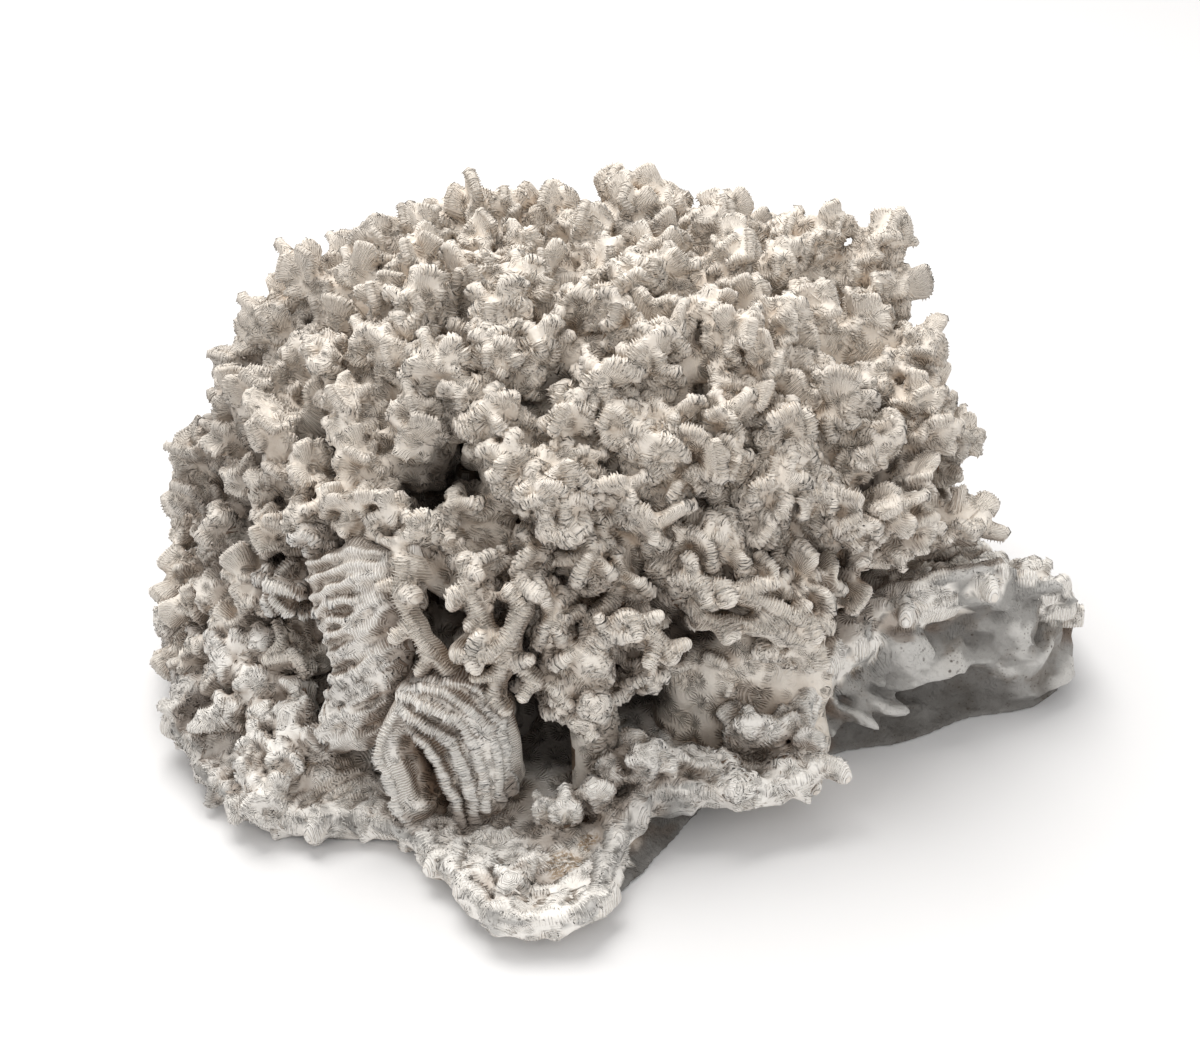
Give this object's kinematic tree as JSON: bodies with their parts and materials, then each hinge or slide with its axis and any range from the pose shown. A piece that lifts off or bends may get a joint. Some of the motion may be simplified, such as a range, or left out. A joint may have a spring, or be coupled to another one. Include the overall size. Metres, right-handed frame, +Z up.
{
  "type": "merulina coral",
  "caption": "Bleached merulina coral: thicket of lobed, ridged branches and a fan on a frilled plate, cut flat to rest on a table.",
  "frame": {"origin": "on the flat cut face under the base plate, below the middle of the thicket", "axes": "+Z up out of the cut face, +X to the right along the longest extent, -Y to the front corner of the plate"},
  "size_m": [0.2475, 0.219, 0.1254],
  "materials": {
    "plate_skeleton": "matt porous calcium skeleton, pale cream, grey-brown in the hollows",
    "branch_skeleton": "matt calcium skeleton with fine comb-like septa, cream-white tips, tan inside",
    "ridged_skeleton": "matt calcium skeleton in long combed ridges, cream crests and grey-brown valleys"
  },
  "bodies": {
    "root": {"base_plate": "plate_skeleton", "left_fan": "ridged_skeleton", "front_ear": "ridged_skeleton", "bough_front": "branch_skeleton", "bough_front_left": "branch_skeleton", "bough_front_right": "branch_skeleton", "bough_low_left": "branch_skeleton", "bough_left": "branch_skeleton", "bough_mid_left": "branch_skeleton", "bough_high_left": "branch_skeleton", "bough_crown_left": "branch_skeleton", "bough_centre_left": "branch_skeleton", "bough_centre_right": "branch_skeleton", "bough_crown": "branch_skeleton", "bough_mid_right": "branch_skeleton", "bough_high_right": "branch_skeleton", "bough_horn": "branch_skeleton", "bough_right": "branch_skeleton", "bough_right_rim": "branch_skeleton", "bough_crown_back": "branch_skeleton", "bough_back_left": "branch_skeleton", "bough_back": "branch_skeleton", "bough_back_right": "branch_skeleton"}
  },
  "joints": []
}
